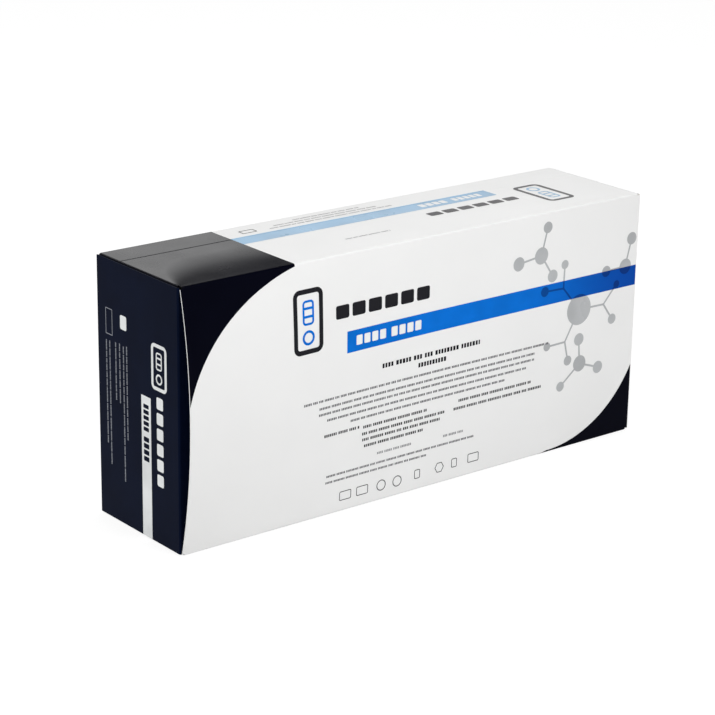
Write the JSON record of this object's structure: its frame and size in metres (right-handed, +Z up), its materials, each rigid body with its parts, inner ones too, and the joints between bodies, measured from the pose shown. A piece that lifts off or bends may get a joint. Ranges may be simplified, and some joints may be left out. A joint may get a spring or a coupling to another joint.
{
  "type": "test kit carton",
  "caption": "Tuck-end folding carton for a diagnostic test kit, glossy printed board, packed with foil pouches, wrapped swabs, vials, tubes, a rack card and a leaflet.",
  "frame": {"origin": "centre of the bottom panel, on the surface that the carton stands on", "axes": "+X along the carton, towards the end whose flap hinges on the front panel; +Y from the front panel to the back panel, across the carton; +Z up"},
  "size_m": [0.25, 0.0655, 0.113],
  "materials": {
    "printed_board": "gloss",
    "end_board": "gloss",
    "pouch_foil": "satin",
    "swab_wrap": "satin",
    "bag_film": "satin",
    "leaflet_paper": "matte",
    "plain_card": "matte"
  },
  "bodies": {
    "carton": {"carton_body": "printed_board", "cassette_pouch_01": "pouch_foil", "cassette_pouch_02": "pouch_foil", "cassette_pouch_03": "pouch_foil", "cassette_pouch_04": "pouch_foil", "cassette_pouch_05": "pouch_foil", "cassette_pouch_06": "pouch_foil", "cassette_pouch_07": "pouch_foil", "cassette_pouch_08": "pouch_foil", "cassette_pouch_09": "pouch_foil", "cassette_pouch_10": "pouch_foil", "cassette_pouch_11": "pouch_foil", "cassette_pouch_12": "pouch_foil", "cassette_pouch_13": "pouch_foil", "cassette_pouch_14": "pouch_foil", "cassette_pouch_15": "pouch_foil", "cassette_pouch_16": "pouch_foil", "cassette_pouch_17": "pouch_foil", "cassette_pouch_18": "pouch_foil", "cassette_pouch_19": "pouch_foil", "cassette_pouch_20": "pouch_foil", "cassette_pouch_21": "pouch_foil", "cassette_pouch_22": "pouch_foil", "cassette_pouch_23": "pouch_foil", "cassette_pouch_24": "pouch_foil", "cassette_pouch_25": "pouch_foil", "swab_pack_01": "swab_wrap", "swab_pack_02": "swab_wrap", "swab_pack_03": "swab_wrap", "swab_pack_04": "swab_wrap", "swab_pack_05": "swab_wrap", "swab_pack_06": "swab_wrap", "swab_pack_07": "swab_wrap", "swab_pack_08": "swab_wrap", "swab_pack_09": "swab_wrap", "swab_pack_10": "swab_wrap", "swab_pack_11": "swab_wrap", "swab_pack_12": "swab_wrap", "swab_pack_13": "swab_wrap", "swab_pack_14": "swab_wrap", "swab_pack_15": "swab_wrap", "swab_pack_16": "swab_wrap", "swab_pack_17": "swab_wrap", "swab_pack_18": "swab_wrap", "swab_pack_19": "swab_wrap", "swab_pack_20": "swab_wrap", "swab_pack_21": "swab_wrap", "swab_pack_22": "swab_wrap", "swab_pack_23": "swab_wrap", "swab_pack_24": "swab_wrap", "swab_pack_25": "swab_wrap", "reagent_vial_bag": "bag_film", "extraction_tube_bag": "bag_film", "folded_leaflet": "leaflet_paper", "tube_rack_card": "plain_card"},
    "left_flap": {"left_end_flap": "end_board"},
    "right_flap": {"right_end_flap": "end_board"}
  },
  "joints": [
    {"name": "left_flap_hinge", "type": "hinge", "parent": "carton", "child": "left_flap", "pos_m": [-0.125, 0.02951, 0.0565], "axis": [0, 0, -1], "range_deg": [0, 180]},
    {"name": "right_flap_hinge", "type": "hinge", "parent": "carton", "child": "right_flap", "pos_m": [0.125, -0.02951, 0.0565], "axis": [0, 0, -1], "range_deg": [0, 180]}
  ]
}
